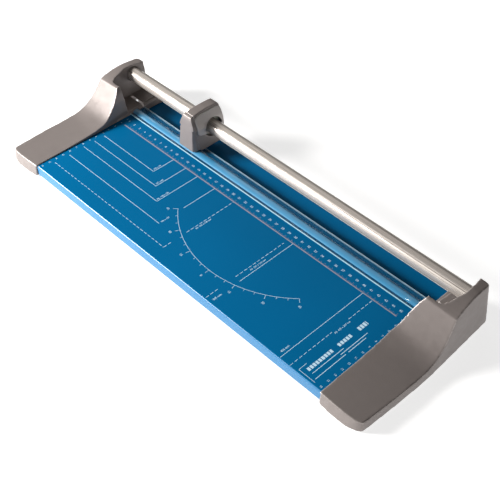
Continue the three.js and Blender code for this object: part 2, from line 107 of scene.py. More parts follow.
def make_camera():
    camera = linked("camera", bpy.data.cameras.new("camera"))
    camera.location = point(*CAMERA["place"])
    aim(camera, CAMERA["towards"])
    camera.data.lens = CAMERA["lens"]
    camera.data.sensor_width = CAMERA["sensor"]
    camera.data.clip_start = CAMERA["nearest"]
    bpy.context.scene.camera = camera


def make_light(name, place, size, power, colour):
    """A square lamp aimed at the origin, on the desk under the middle of the trimmer."""
    data = bpy.data.lights.new(name, "AREA")
    data.size = size
    data.energy = power
    data.color = colour
    light = linked(name, data)
    light.location = place
    aim(light, -Vector(place))


def make_floor(material):
    half = FLOOR_SIZE / 2
    corners = [(-half, -half, 0), (half, -half, 0), (half, half, 0), (-half, half, 0)]
    mesh = bpy.data.meshes.new("floor")
    mesh.from_pydata(corners, [], [(0, 1, 2, 3)])
    mesh.materials.append(material)
    floor = linked("floor", mesh)


def make_world():
    world = bpy.data.worlds.new("studio")
    bpy.context.scene.world = world
    world.use_nodes = True
    background = world.node_tree.nodes["Background"]
    background.inputs["Color"].default_value = (*WORLD["colour"], 1)
    background.inputs["Strength"].default_value = WORLD["strength"]


# ---------------------------------------------------------------- materials

NOISE_RANGE = (0.3, 0.7)  # most of a noise texture's values lie in it
ACRYLIC = {"IOR": 1.49, "Specular IOR Level": 1, "Coat Weight": 1}
ALONG_X = (0.05, 1, 1)  # stretches a texture into streaks along the strip


class Finish:
    """A Principled material whose colour, roughness and relief come from procedural textures."""

    def __init__(self, name, sockets):
        self.material = bpy.data.materials.new(name)
        self.material.use_nodes = True
        self.tree = self.material.node_tree
        self.shader = self.tree.nodes["Principled BSDF"]
        for socket, value in sockets.items():
            self.shader.inputs[socket].default_value = value

    def noise(self, scale, detail=2, stretch=(1, 1, 1)):
        place = self.tree.nodes.new("ShaderNodeTexCoord")
        mapping = self.tree.nodes.new("ShaderNodeMapping")
        mapping.inputs["Scale"].default_value = stretch
        node = self.tree.nodes.new("ShaderNodeTexNoise")
        node.inputs["Scale"].default_value = scale
        node.inputs["Detail"].default_value = detail
        self.tree.links.new(place.outputs["Object"], mapping.inputs["Vector"])
        self.tree.links.new(mapping.outputs["Vector"], node.inputs["Vector"])
        return node.outputs["Fac"]

    def edges(self, low, high):
        """0 on flat and hollow places, 1 on outer edges."""
        pointiness = self.tree.nodes.new("ShaderNodeNewGeometry").outputs["Pointiness"]
        return self.remap(pointiness, low, high, 0, 1)

    def remap(self, value, from_low, from_high, to_low, to_high):
        node = self.tree.nodes.new("ShaderNodeMapRange")
        limits = (from_low, from_high, to_low, to_high)
        for name, limit in zip(("From Min", "From Max", "To Min", "To Max"), limits):
            node.inputs[name].default_value = limit
        self.tree.links.new(value, node.inputs["Value"])
        return node.outputs["Result"]

    def mix(self, value, high):
        """Makes the base colour a mix that reaches the high colour where the value is 1."""
        node = self.tree.nodes.new("ShaderNodeMix")
        node.data_type = "RGBA"
        node.inputs["B"].default_value = (*high, 1)
        self.tree.links.new(value, node.inputs["Factor"])
        self.tree.links.new(node.outputs["Result"], self.shader.inputs["Base Color"])
        return node

    def colour(self, value, low, high):
        """Base colour from low where the value is 0 to high where it is 1."""
        self.mix(value, high).inputs["A"].default_value = (*low, 1)

    def overlay(self, value, colour):
        """Another colour over the base colour where the value is near 1."""
        under = self.shader.inputs["Base Color"].links[0].from_socket
        self.tree.links.new(under, self.mix(value, colour).inputs["A"])

    def roughness(self, value, low, high):
        self.tree.links.new(self.remap(value, *NOISE_RANGE, low, high), self.shader.inputs["Roughness"])

    def relief(self, value, depth, strength):
        """Bumps up to the depth in millimetres."""
        node = self.tree.nodes.new("ShaderNodeBump")
        node.inputs["Strength"].default_value = strength
        node.inputs["Distance"].default_value = depth * MM
        self.tree.links.new(value, node.inputs["Height"])
        self.tree.links.new(node.outputs["Normal"], self.shader.inputs["Normal"])


def blue_paint():
    finish = Finish("blue_paint", {"Specular IOR Level": 0.04})
    finish.colour(finish.noise(9), (0.0002, 0.1, 0.24), (0.0004, 0.116, 0.28))
    finish.roughness(finish.noise(60, 4), 0.3, 0.36)
    finish.relief(finish.noise(420, 1), 0.006, 0.2)
    return finish.material


def bright_bend():
    """The front bend of the table: a lighter blue that paints in a highlight, with stronger specular
    where the paint catches the light.
    """
    finish = Finish("bright_bend", {"Specular IOR Level": 0.7})
    # The lighter blue is a painted highlight on the front bend.
    finish.colour(finish.noise(9), (0.012, 0.14, 0.31), (0.02, 0.165, 0.35))
    finish.roughness(finish.noise(60, 4), 0.3, 0.38)
    finish.relief(finish.noise(900), 0.03, 0.35)
    return finish.material


def grey_plastic():
    """Moulded plastic, with a painted highlight that makes it paler along the outer edges."""
    finish = Finish("grey_plastic", {"Metallic": 0.35, "Specular IOR Level": 0.5})
    finish.colour(finish.noise(25, 5), (0.215, 0.187, 0.178), (0.247, 0.218, 0.209))
    # Paler outer edges: a painted highlight along the rims, found from the pointiness.
    finish.overlay(finish.edges(0.52, 0.59), (0.55, 0.51, 0.49))
    finish.roughness(finish.noise(140, 5), 0.36, 0.46)
    finish.relief(finish.noise(1500, 3), 0.06, 0.35)
    return finish.material


def hood_grey():
    """The satin side plates of the head, paler than the caps: a lighter copy of their grey that paints
    in the light on the head's sides.
    """
    finish = Finish("hood_grey", {"Metallic": 0.4, "Specular IOR Level": 0.6})
    # A paler grey than the caps, as painted light on the head's sides.
    finish.colour(finish.noise(40, 4), (0.46, 0.425, 0.41), (0.51, 0.475, 0.455))
    finish.roughness(finish.noise(140, 5), 0.34, 0.44)
    finish.relief(finish.noise(1500, 3), 0.05, 0.3)
    return finish.material


def rail_aluminium():
    finish = Finish("rail_aluminium", {"Metallic": 0.55})
    drawn = finish.noise(1600, 3, stretch=(0.01, 1, 1))
    finish.colour(drawn, (0.5, 0.455, 0.42), (0.58, 0.53, 0.49))
    finish.roughness(drawn, 0.24, 0.34)
    finish.relief(drawn, 0.02, 0.25)
    return finish.material


def ground_steel():
    finish = Finish("ground_steel", {"Metallic": 0.3})
    lines = finish.noise(2200, stretch=(1, 1, 0.02))
    finish.colour(lines, (0.74, 0.79, 0.84), (0.88, 0.92, 0.96))
    finish.roughness(lines, 0.18, 0.3)
    finish.relief(lines, 0.01, 0.3)
    return finish.material


def zinc_steel():
    finish = Finish("zinc_steel", {"Metallic": 1})
    cloud = finish.noise(700, 4)
    finish.colour(cloud, (0.55, 0.57, 0.6), (0.75, 0.76, 0.74))
    finish.roughness(cloud, 0.22, 0.38)
    finish.relief(finish.noise(3000), 0.01, 0.3)
    return finish.material


def clear_plastic():
    finish = Finish("clear_plastic", {**ACRYLIC, "Alpha": 0.3, "Coat Roughness": 0.2})
    finish.colour(finish.noise(300, 3, ALONG_X), (0.002, 0.11, 0.24), (0.004, 0.13, 0.28))
    finish.roughness(finish.noise(12, 1), 0.13, 0.17)
    return finish.material


def hump_plastic():
    """The thick rounded rib of the clear strip: a lighter, milkier blue on its upper faces, partly the
    plastic's own thickness and partly a painted highlight.
    """
    finish = Finish("hump_plastic", {**ACRYLIC, "Alpha": 0.6})
    # The lighter blue paints in the highlight along the hump.
    finish.colour(finish.noise(60, 2, ALONG_X), (0.06, 0.34, 0.62), (0.09, 0.38, 0.66))
    finish.roughness(finish.noise(12, 1), 0.3, 0.36)
    return finish.material


def frosted_plastic():
    """The clear strip's edges, paler and more opaque: partly its own colour seen along the plastic,
    partly a painted highlight line.
    """
    finish = Finish("frosted_plastic", {**ACRYLIC, "Alpha": 0.8})
    # Pale blue, nearly opaque: a painted highlight line on the strip's edges.
    finish.colour(finish.noise(300, 3, ALONG_X), (0.3, 0.56, 0.68), (0.38, 0.64, 0.76))
    finish.roughness(finish.noise(12, 1), 0.22, 0.28)
    return finish.material


def rubber(name, dark, light):
    finish = Finish(name, {"Specular IOR Level": 0.35})
    finish.colour(finish.noise(220, 4), dark, light)
    finish.roughness(finish.noise(500, 3), 0.62, 0.82)
    finish.relief(finish.noise(2200, 3), 0.08, 0.4)
    return finish.material


def white_nylon():
    """The nylon of the head's bushes and of the blade's hub, darkened to a grey as painted shade, since
    the bushes sit in the hood's shade.
    """
    finish = Finish("white_nylon", {"Subsurface Weight": 0.15, "Subsurface Scale": 0.002})
    # Grey instead of white: painted shade for the bushes deep in the hood.
    finish.colour(finish.noise(120, 3), (0.3, 0.29, 0.27), (0.38, 0.37, 0.34))
    finish.roughness(finish.noise(500, 3), 0.38, 0.5)
    finish.relief(finish.noise(1800), 0.03, 0.3)
    return finish.material


def printing_ink(name, dark, light):
    finish = Finish(name, {"Specular IOR Level": 0.4})
    finish.colour(finish.noise(400, 4), dark, light)
    finish.roughness(finish.noise(900), 0.45, 0.6)
    return finish.material


def pale_floor():
    """A bright floor that glows a little, so that the ground stays nearly white."""
    finish = Finish("pale_floor", {"Specular IOR Level": 0.2, "Emission Strength": 0.72})
    finish.shader.inputs["Emission Color"].default_value = (1, 1, 1, 1)
    finish.colour(finish.noise(3), (0.58, 0.58, 0.58), (0.6, 0.6, 0.6))
    finish.roughness(finish.noise(20), 0.75, 0.85)
    return finish.material


MATERIALS = {
    "blue_paint": blue_paint(),
    "grey_plastic": grey_plastic(),
    "rail_aluminium": rail_aluminium(),
    "clear_plastic": clear_plastic(),
    "black_rubber": rubber("black_rubber", (0.012, 0.012, 0.013), (0.028, 0.028, 0.03)),
    "roller_rubber": rubber("roller_rubber", (0.03, 0.03, 0.034), (0.06, 0.06, 0.066)),
    "ground_steel": ground_steel(),
    "white_nylon": white_nylon(),
    "zinc_steel": zinc_steel(),
}
BEND_PAINTED_HIGHLIGHT = bright_bend()
HOOD_LIT_GREY = hood_grey()
HUMP_HIGHLIGHT_PLASTIC = hump_plastic()
STRIP_EDGE_HIGHLIGHT = frosted_plastic()
WHITE_INK = printing_ink("white_ink", (0.46, 0.66, 0.8), (0.56, 0.76, 0.9))
SCALE_INK = printing_ink("scale_ink", (0.3, 0.27, 0.3), (0.4, 0.37, 0.4))

# ---------------------------------------------------------------- meshes

CREASE = 32  # degrees: the fold that still shades smoothly
CORNER_SHARE = 0.45  # most of a side that a rounded corner takes
SHARP = 26  # degrees: a CAD edge sharper than this stays an edge
EASE_PASSES = 4
WELD = 1e-6  # metres: CAD points nearer to each other than this are one
SAME_PLACE = 1e-7  # metres: the same for points made here


def piece(name, mesh, body, slot, nodes=(), material=None):
    """A finished mesh as a piece of the object, riding on a body and standing for CAD nodes."""
    mesh.materials.clear()
    mesh.materials.append(material or MATERIALS[slot])
    made = linked(name, mesh)
    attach(made, body)
    if nodes:
        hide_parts(*nodes)
    return made


def repaint(made, material, chosen):
    """Gives another material to the faces chosen by their centre, in datum millimetres, and normal."""
    made.data.materials.append(material)
    for polygon in made.data.polygons:
        if chosen(millimetres(polygon.center), polygon.normal):
            polygon.material_index = len(made.data.materials) - 1


def opened(mesh):
    """The mesh as a bmesh to be changed, until stored() writes it back."""
    build = bmesh.new()
    build.from_mesh(mesh)
    return build


def stored(build, mesh):
    build.to_mesh(mesh)
    build.free()


def mesh_of(name, vertices, faces, weld=False):
    """A mesh from points in datum millimetres, with its faces turned outwards."""
    mesh = bpy.data.meshes.new(name)
    mesh.from_pydata([point(*vertex) for vertex in vertices], [], faces)
    build = opened(mesh)
    if weld:
        bmesh.ops.remove_doubles(build, verts=build.verts, dist=SAME_PLACE)
    bmesh.ops.recalc_face_normals(build, faces=build.faces)
    stored(build, mesh)
    return mesh


def smooth_by_angle(mesh, degrees=CREASE):
    """Smooth shading, apart from edges sharper than the angle."""
    build = opened(mesh)
    for face in build.faces:
        face.smooth = True
    for edge in build.edges:
        edge.smooth = len(edge.link_faces) == 2 and edge.calc_face_angle() < math.radians(degrees)
    stored(build, mesh)


def arc(centre, radius, start, end, steps):
    """Points on an arc. Angles are in half turns."""
    turns = [math.pi * (start + (end - start) * i / steps) for i in range(steps + 1)]
    return [(centre[0] + radius * math.cos(a), centre[1] + radius * math.sin(a)) for a in turns]


def rounded(path, radius, steps=6, closed=False):
    """A path of two-dimensional points with its corners rounded."""
    points = [Vector(p) for p in path]
    made = []
    for i, corner in enumerate(points):
        if not closed and i in (0, len(points) - 1):
            made.append(corner)
            continue
        before = points[i - 1] - corner
        after = points[(i + 1) % len(points)] - corner
        reach = min(radius, before.length * CORNER_SHARE, after.length * CORNER_SHARE)
        start = corner + before.normalized() * reach
        end = corner + after.normalized() * reach
        for k in range(steps + 1):
            t = k / steps
            made.append(start * (1 - t) ** 2 + corner * 2 * t * (1 - t) + end * t**2)
    return made


def thickened(points, thickness):
    """Closed outline of a sheet whose middle line runs through the points."""
    sides = ([], [])
    for i, p in enumerate(points):
        along = (points[min(i + 1, len(points) - 1)] - points[max(i - 1, 0)]).normalized()
        across = Vector((-along.y, along.x)) * (thickness / 2)
        sides[0].append(p + across)
        sides[1].append(p - across)
    return sides[0] + sides[1][::-1]


def inset(outline, distance):
    """A closed outline with its points moved inwards, square to the line between their neighbours."""
    points = [Vector(p) for p in outline]
    after = points[1:] + points[:1]
    before = points[-1:] + points[:-1]
    area = sum(p.cross(q) for p, q in zip(points, after))
    inwards = math.copysign(distance, area)
    made = []
    for last, p, following in zip(before, points, after):
        along = (following - last).normalized()
        made.append(tuple(p + Vector((-along.y, along.x)) * inwards))
    return made


def swept(name, outline, x0, x1, ease=0.15):
    """A closed [y, z] outline swept along x, with a small bevel at both ends."""
    count = len(outline)
    vertices = []
    for x, shrink in ((x0, ease), (x0 + ease, 0), (x1 - ease, 0), (x1, ease)):
        vertices += [(x, *corner) for corner in inset(outline, shrink)]
    last = len(vertices) - count
    faces = []
    for start in range(0, last, count):
        for i in range(count):
            k = (i + 1) % count
            faces.append((start + i, start + k, start + count + k, start + count + i))
    faces.append(tuple(range(count)))
    faces.append(tuple(range(last, len(vertices))))
    mesh = mesh_of(name, vertices, faces)
    smooth_by_angle(mesh)
    return mesh


def lathed(name, profile, centre, axis, segments=64):
    """A closed profile of [radius, along] points turned about the y or z axis through the centre."""
    count = len(profile)
    vertices = []
    for k in range(segments):
        a = 2 * math.pi * k / segments
        for radius, along in profile:
            across = (radius * math.cos(a), radius * math.sin(a))
            if axis == "z":
                vertices.append((centre[0] + across[0], centre[1] + across[1], along))
            else:
                vertices.append((centre[0] + across[0], along, centre[2] + across[1]))
    faces = []
    for k in range(segments):
        n = (k + 1) % segments
        for i in range(count):
            j = (i + 1) % count
            faces.append((k * count + i, n * count + i, n * count + j, k * count + j))
    mesh = mesh_of(name, vertices, faces, weld=True)
    smooth_by_angle(mesh)
    return mesh


def evaluated(made):
    """The object's mesh with its modifiers applied. The object itself is removed."""
    graph = bpy.context.evaluated_depsgraph_get()
    mesh = bpy.data.meshes.new_from_object(made.evaluated_get(graph))
    bpy.data.objects.remove(made)
    return mesh


def sharp_edge_tree(mesh):
    """Welds the mesh and gives places along its sharp edges, as a tree to search."""
    build = opened(mesh)
    bmesh.ops.remove_doubles(build, verts=build.verts, dist=WELD)
    samples = []
    for edge in build.edges:
        if len(edge.link_faces) == 2 and edge.calc_face_angle() > math.radians(SHARP):
            a, b = (vertex.co for vertex in edge.verts)
            steps = max(1, int((b - a).length / MM))
            samples += [a.lerp(b, k / steps) for k in range(steps + 1)]
    stored(build, mesh)
    tree = kdtree.KDTree(len(samples))
    for i, sample in enumerate(samples):
        tree.insert(sample, i)
    tree.balance()
    return tree


def smoothing(made, passes, group=""):
    smooth = made.modifiers.new("smooth", "SMOOTH")
    smooth.factor = 0.5
    smooth.iterations = passes
    smooth.vertex_group = group


def refined(node, voxel, reach=3.0, passes=26):
    """The CAD node's shape as a fine even mesh: facets melt into curves and edges are eased."""
    mesh = frame["nodes"][node].data.copy()
    sharp_edges = sharp_edge_tree(mesh)

    draft = linked(node + "_draft", mesh)
    remesh = draft.modifiers.new("even", "REMESH")
    remesh.mode = "VOXEL"
    remesh.voxel_size = voxel * MM
    mesh = evaluated(draft)

    draft = linked(node + "_draft", mesh)
    group = draft.vertex_groups.new(name="away_from_edges")
    for vertex in mesh.vertices:
        away = sharp_edges.find(vertex.co)[2] / MM
        group.add([vertex.index], min(1, max(0, (away - voxel) / reach)), "REPLACE")
    smoothing(draft, passes, group.name)
    smoothing(draft, EASE_PASSES)
    mesh = evaluated(draft)
    mesh.shade_smooth()
    return mesh


# ---------------------------------------------------------------- table, channel and rail

SHEET = 1.2  # thickness of the table and of the channel
TABLE_BEND = 1.7
CHANNEL_BEND = 1.4
REAR_FLANGE_RISE = 2.1  # the table's rear flange ends this far above the front one
STUD = {
    "radius": 1.9,
    "inset": 7,  # from the paper stop
    "rows": (-148, -96, -40),
    "tip": -10.5,
    "chamfer": 0.4,
    "segments": 28,
}
THREAD = {"start": -9.6, "end": -4.6, "turns": 8, "pitch": 0.6, "depth": 0.22}


def make_table():
    low, high = span("table_plate")
    front = low.y + SHEET / 2
    rear = high.y - SHEET / 2
    top = -SHEET / 2
    path = [(rear, low.z + REAR_FLANGE_RISE), (rear, top), (front, top), (front, low.z)]
    outline = thickened(rounded(path, TABLE_BEND), SHEET)
    mesh = swept("table_plate", outline, low.x, high.x)
    sheet = piece("table_sheet", mesh, "base", "blue_paint", ["table_plate"])
    # The table's front-facing bend gets the lighter blue of the painted highlight.
    repaint(sheet, BEND_PAINTED_HIGHLIGHT, lambda centre, normal: normal.y < -0.5 and centre.y < low.y + 1)


def stud_profile():
    radius = STUD["radius"]
    tip = STUD["tip"]
    profile = [(0, tip), (radius - STUD["chamfer"], tip), (radius, tip + STUD["chamfer"])]
    for turn in range(THREAD["turns"]):
        start = THREAD["start"] + turn * THREAD["pitch"]
        profile += [(radius, start), (radius - THREAD["depth"], start + THREAD["pitch"] / 2)]
    return profile + [(radius, THREAD["end"]), (radius, -SHEET), (0, -SHEET)]


def make_studs():
    """Threaded studs under both ends of the table, which hold the end caps."""
    low, high = span("table_plate")
    ends = (low.x - GAP + STUD["inset"], high.x + GAP - STUD["inset"])
    for side, x in zip(("left", "right"), ends):
        for number, y in enumerate(STUD["rows"], 1):
            mesh = lathed("stud", stud_profile(), (x, y, 0), "z", STUD["segments"])
            piece(f"{side}_stud_{number}", mesh, "base", "zinc_steel")


def make_channel():
    low, high = span("rear_channel")
    front = low.y + SHEET / 2
    rear = high.y - SHEET / 2
    top = high.z - SHEET / 2
    path = [(front, low.z), (front, top), (rear, top), (rear, low.z)]
    outline = thickened(rounded(path, CHANNEL_BEND), SHEET)
    mesh = swept("rear_channel", outline, low.x, high.x)
    piece("channel_sheet", mesh, "base", "blue_paint", ["rear_channel"])


GROOVE = {
    "turn": 0.72,  # half turns from the rear, so it faces up and to the front
    "width": 1.6,
    "depth": 1.2,
    "lip": 0.008,  # half turns of the rail's round that each eased lip takes
    "lip_depth": 0.25,
}
RAIL_STEPS = 120
RAIL_END = 0.3  # bevel of the rail's ends


def make_rail():
    low, high = span("guide_rail")
    centre = Vector(((low.y + high.y) / 2, (low.z + high.z) / 2))
    radius = (high.y - low.y) / 2
    turn = GROOVE["turn"]
    half = math.asin(GROOVE["width"] / 2 / radius) / math.pi + GROOVE["lip"]
    outer = arc(centre, radius, turn + half, turn + 2 - half, RAIL_STEPS)
    along = Vector((math.cos(turn * math.pi), math.sin(turn * math.pi)))
    across = Vector((-along.y, along.x)) * (GROOVE["width"] / 2)
    mouth = centre + along * (radius - GROOVE["lip_depth"])
    floor = centre + along * (radius - GROOVE["depth"])
    groove = [mouth - across, floor - across, floor + across, mouth + across]
    mesh = swept("guide_rail", outer + groove, low.x, high.x, RAIL_END)
    piece("rail_profile", mesh, "base", "rail_aluminium", ["guide_rail"])


# ---------------------------------------------------------------- clamp strip

STRIP = {
    "flat": 1.8,  # height of the flat part's middle line
    "thick": 1.2,
    "bend": 0.8,
    "end": 0.25,  # bevel of the ends
}
LIP = [(-25, 1.3), (-24.4, 0.3)]  # turned-up front edge: y, height above the flat part
LIP_REAR = -24.1  # the turned-up edge carries the pale edge colour and painted highlight up to here
HUMP_RISE = [(-21.8, 0), (-20.9, 0.35), (-20, 1.05), (-18.4, 2), (-16.9, 2.4), (-15.3, 2.5)]
HUMP_SPAN = (-20.9, -13)  # where the hump's upper faces get the milky blue of the painted highlight
REAR_EDGE = 0.5  # width of the rear edge's pale band, a painted highlight line


def make_strip():
    """The clear strip over the table, with a turned-up front edge and a symmetric hump."""
    low, high = span("clamp_strip")
    crest = HUMP_RISE[-1][0]
    fall = [(2 * crest - y, z) for y, z in reversed(HUMP_RISE[:-1])]
    path = [(y, STRIP["flat"] + z) for y, z in [*LIP, *HUMP_RISE, *fall, (high.y, 0)]]
    outline = thickened(rounded(path, STRIP["bend"], steps=4), STRIP["thick"])
    mesh = swept("clamp_strip", outline, low.x, high.x, STRIP["end"])
    strip = piece("clamp_profile", mesh, "clamp", "clear_plastic", ["clamp_strip"])
    # The hump's upward faces get the milky blue: partly the thick plastic, partly a painted highlight.
    start, end = HUMP_SPAN
    repaint(strip, HUMP_HIGHLIGHT_PLASTIC, lambda centre, normal: start < centre.y < end and normal.z > 0)
    # The lip and the rear edge get the pale edge colour: partly the plastic seen along its edge, partly
    # a painted highlight line.
    rear = high.y - REAR_EDGE
    repaint(strip, STRIP_EDGE_HIGHLIGHT, lambda centre, normal: centre.y < LIP_REAR or centre.y > rear)


# ---------------------------------------------------------------- end caps and cutting head

CAP_VOXEL = 0.92  # size of the caps' mesh
HEAD_VOXEL = 0.45  # and of the head's


def make_mouldings():
    for side in ("left", "right"):
        node = f"{side}_end_cap"
        piece(f"{side}_cap_moulding", refined(node, CAP_VOXEL), "base", "grey_plastic", [node])
    for node, name in (("head_housing", "head_shell"), ("head_front_cover", "head_cover_shell")):
        mesh = refined(node, HEAD_VOXEL, reach=2)
        piece(name, mesh, "head", "grey_plastic", [node])


HOOD_WIDTHS = (
    # height, half width of the hood there
    (12, 14.4), (34, 13.4), (40, 11.6), (45, 9.4), (49, 7.6), (52, 6.2),
)
PLATE_OUTLINE = (
    # y, z
    (-12.9, 48), (-12.9, 26.5), (12, 20.5), (25, 17), (28.4, 21), (27.4, 47), (24, 50.5), (-8, 51),
)
PLATE = {
    "proud": 0.9,  # stands this far out of the hood
    "corner": 5,
    "narrowest": 0.6,  # where the outline comes nearer to the mouth, the plate is open
    "edge": 0.03,  # share of the plate's width that its eased edge takes
    "edge_drop": 0.25,
    "skirt": 1.6,  # the edge's side reaches this far into the hood
    "rings": 12,
    "steps": 120,
    "crease": 50,
}
MOUTH = {"y": 12, "z": 28, "radius": 13}  # round opening for the rail


def hood_half_width(z):
    heights, widths = zip(*HOOD_WIDTHS)
    return float(np.interp(z, heights, widths))


def ray_to_outline(centre, direction, outline):
    """Distance from the centre to the outline along a direction."""
    for i, start in enumerate(outline):
        side = outline[(i + 1) % len(outline)] - start
        across = direction.cross(side)
        if abs(across) < 1e-9:
            continue
        offset = start - centre
        distance = offset.cross(side) / across
        share = offset.cross(direction) / across
        if distance > 0 and 0 <= share <= 1:
            return distance
    return 0


def plate_rows():
    """Rows from the mouth to the plate's outline: share of the way, depth."""
    inner = [(0, -PLATE["skirt"]), (0, -PLATE["edge_drop"]), (PLATE["edge"], 0)]
    outer = [(1 - share, sunk) for share, sunk in reversed(inner)]
    return inner + [(k / PLATE["rings"], 0) for k in range(1, PLATE["rings"])] + outer


def hood_plate(sign):
    """A plate that follows the hood's slope, with the rail's mouth in it.

    The sign is -1 for the left side of the hood and 1 for the right.
    """
    low, high = span("head_housing")
    middle = (low.x + high.x) / 2
    centre = Vector((MOUTH["y"], MOUTH["z"]))
    rim = MOUTH["radius"]
    outline = rounded(PLATE_OUTLINE, PLATE["corner"], steps=8, closed=True)
    rows = plate_rows()
    steps = PLATE["steps"]
    vertices = []
    solid_at = []
    for k in range(steps):
        a = 2 * math.pi * k / steps
        direction = Vector((math.cos(a), math.sin(a)))
        reach = ray_to_outline(centre, direction, outline)
        solid_at.append(reach >= rim + PLATE["narrowest"])
        reach = max(reach, rim + PLATE["narrowest"])
        for share, sunk in rows:
            y, z = centre + direction * (rim + (reach - rim) * share)
            width = hood_half_width(z) + PLATE["proud"] + sunk
            vertices.append((middle + sign * width, y, z))
    faces = []
    for k in range(steps):
        n = (k + 1) % steps
        if solid_at[k] and solid_at[n]:
            for r in range(len(rows) - 1):
                base = k * len(rows) + r
                after = n * len(rows) + r
                faces.append((base, after, after + 1, base + 1))
    mesh = mesh_of("hood_plate", vertices, faces)
    smooth_by_angle(mesh, PLATE["crease"])
    return mesh


def make_hood_plates():
    for side, sign in (("left", -1), ("right", 1)):
        # The side plates take the paler grey of painted light.
        piece(f"{side}_hood_plate", hood_plate(sign), "head", "grey_plastic", material=HOOD_LIT_GREY)


FOOT = {
    "hollow": 0.6,  # depth of the hollow in the sole
    "hollow_edge": (3, 2.6),  # its floor and its rim end this far inside the foot
    "sole_edge": ((0.7, 0), (0.2, 0.2), (0, 0.7)),  # inwards, up
    "draft": 0.3,
    "shoulder": -13.8,
    "stem": 2.5,
    "stem_chamfer": 0.5,
}


def foot_profile(radius, bottom, top):
    """A rubber foot with a hollowed sole and a stem that plugs into the cap."""
    floor = bottom + FOOT["hollow"]
    floor_edge, rim_edge = FOOT["hollow_edge"]
    stem = FOOT["stem"]
    chamfer = FOOT["stem_chamfer"]
    profile = [(0, floor), (radius - floor_edge, floor), (radius - rim_edge, bottom)]
    profile += [(radius - inwards, bottom + up) for inwards, up in FOOT["sole_edge"]]
    profile += [(radius - FOOT["draft"], FOOT["shoulder"]), (stem, FOOT["shoulder"])]
    return profile + [(stem, top - chamfer), (stem - chamfer, top), (0, top)]


def make_feet():
    for side in ("left", "right"):
        for row in ("front", "rear"):
            node = f"{side}_{row}_foot"
            low, high = span(node)
            profile = foot_profile((high.x - low.x) / 2, low.z, high.z)
            mesh = lathed(node, profile, (low + high) / 2, "z")
            piece(f"{side}_{row}_pad", mesh, "base", "black_rubber", [node])


BLADE = {"bore": 2.3, "grind": 1.6, "edge": 0.06, "segments": 96}


def make_blade():
    """The round blade, flat in front and ground on its rear face down to a thin edge."""
    low, high = span("round_blade")
    radius = (high.x - low.x) / 2
    ground = [(radius, low.y + BLADE["edge"]), (radius - BLADE["grind"], high.y)]
    profile = [(BLADE["bore"], low.y), (radius, low.y), *ground, (BLADE["bore"], high.y)]
    mesh = lathed("round_blade", profile, (low + high) / 2, "y", BLADE["segments"])
    piece("round_blade_disc", mesh, "blade", "ground_steel", ["round_blade"])


# ---------------------------------------------------------------- carried-over CAD nodes

UNBEVELLED = {"blade_spring", "left_clamp_spring", "right_clamp_spring"}
BEVEL = {"width": 0.12, "segments": 2, "angle": 35}


def dress_cad_nodes():
    """Each CAD node that still shows gets its material, smooth shading and, but for springs, a bevel."""
    for part in frame["record"]["subparts"]:
        node = frame["nodes"][part["node"]]
        if node.hide_render:
            continue
        mesh = node.data
        mesh.materials.clear()
        mesh.materials.append(MATERIALS[part["material_slot"]])
        if "custom_normal" in mesh.attributes:
            mesh.attributes.remove(mesh.attributes["custom_normal"])
        mesh.shade_smooth()
        weld = node.modifiers.new("weld", "WELD")
        weld.merge_threshold = WELD
        if part["node"] not in UNBEVELLED:
            bevel = node.modifiers.new("ease", "BEVEL")
            bevel.width = BEVEL["width"] * MM
            bevel.segments = BEVEL["segments"]
            bevel.angle_limit = math.radians(BEVEL["angle"])
            bevel.harden_normals = True


# ---------------------------------------------------------------- printing on the table

INK = {"bottom": 0.002, "top": 0.012}  # heights of the printed film above the table top
LINE = 0.55
DASH = {"length": 4.2, "gap": 2.2}
FIGURES = {"size": 1.4, "weight": 0.02}  # font size for a height of 1, thickening of the strokes
BASE_LINE = -42.3  # front line of the scale
SCALE = {"ends": (10.8, 451.2), "rule": 0.9, "first": 11, "last": 451, "tick": 0.22}
TICKS = ((10, 4.2), (5, 3), (1, 1.8))  # millimetres between ticks, length
SCALE_FIGURES = {"last": 45, "y": -33.4, "height": 2.8}
SIDE_FIGURES = {"x": (5, 458.5), "first": 3, "last": 16, "drop": 2.4, "height": 2.2}
FORMAT_LEFT = 10.5
LABEL_HEIGHT = 2.2
FORMATS = (
    # width, depth, dashed, label and its place, stretches of the line across the table from y to y
    (105, 74, False, "105 x 74", (102.4, -66), ((-74, BASE_LINE),)),
    (127, 88.9, False, "127 x 89", (124.4, -81), ((-88.9, BASE_LINE),)),
    (148, 105, False, "A6  148 x 105", (145.4, -94), ((-105, BASE_LINE),)),
    (177.8, 127, False, "178 x 127", (177.8, -118), ((-90.3, BASE_LINE),)),
    (210, 148, True, "A5  210 x 148 mm", (213, -92), ((-148, -137.5), (-114.4, BASE_LINE))),
)
LONG_LINES = (
    # x, dashed, stretches from y to y
    (297, True, ((-122, -49), (-164.5, -148))),
    (304.8, False, ((-123.4, BASE_LINE),)),
    (406.4, False, ((-165.3, BASE_LINE),)),
    (420, True, ((-165.3, -105), (-80, BASE_LINE))),
)
LONG_LABELS = (
    # label, x, y, height
    ("A4  297 x 210 mm", 301, -92.5, LABEL_HEIGHT),
    ("305 mm", 304.8, -155.5, 2.6),
    ("406 mm", 402, -154, 2.6),
    ("A3  420 x 297 mm", 423, -92.5, LABEL_HEIGHT),
)
PROTRACTOR = {
    "x": 270,
    "radius": 135.5,
    "limit": 45,  # degrees to each side
    "steps": 72,
    "line": 0.45,
    "mark": 0.4,
    "marks": ((15, 5.5), (5, 3)),  # degrees between marks, length
    "numbers": 147,  # radius of the figures
    "height": 2.8,
}
PANEL = {
    "corner": ((451, -163), (429.5, -163), (429.5, -152)),
    "corner_line": 0.5,
    "blocks_x": 436,
    "blocks": ((-157, -121, 4.2), (-113, -94, 4.2), (-83, -70, 5)),  # from y to y, width
    "block": 3,
    "pitch": 4,
    "rules": ((442, -157, -112), (445.4, -120, -80), (448.6, -160, -116), (448.6, -112, -86)),
    "rule_line": 0.7,
}


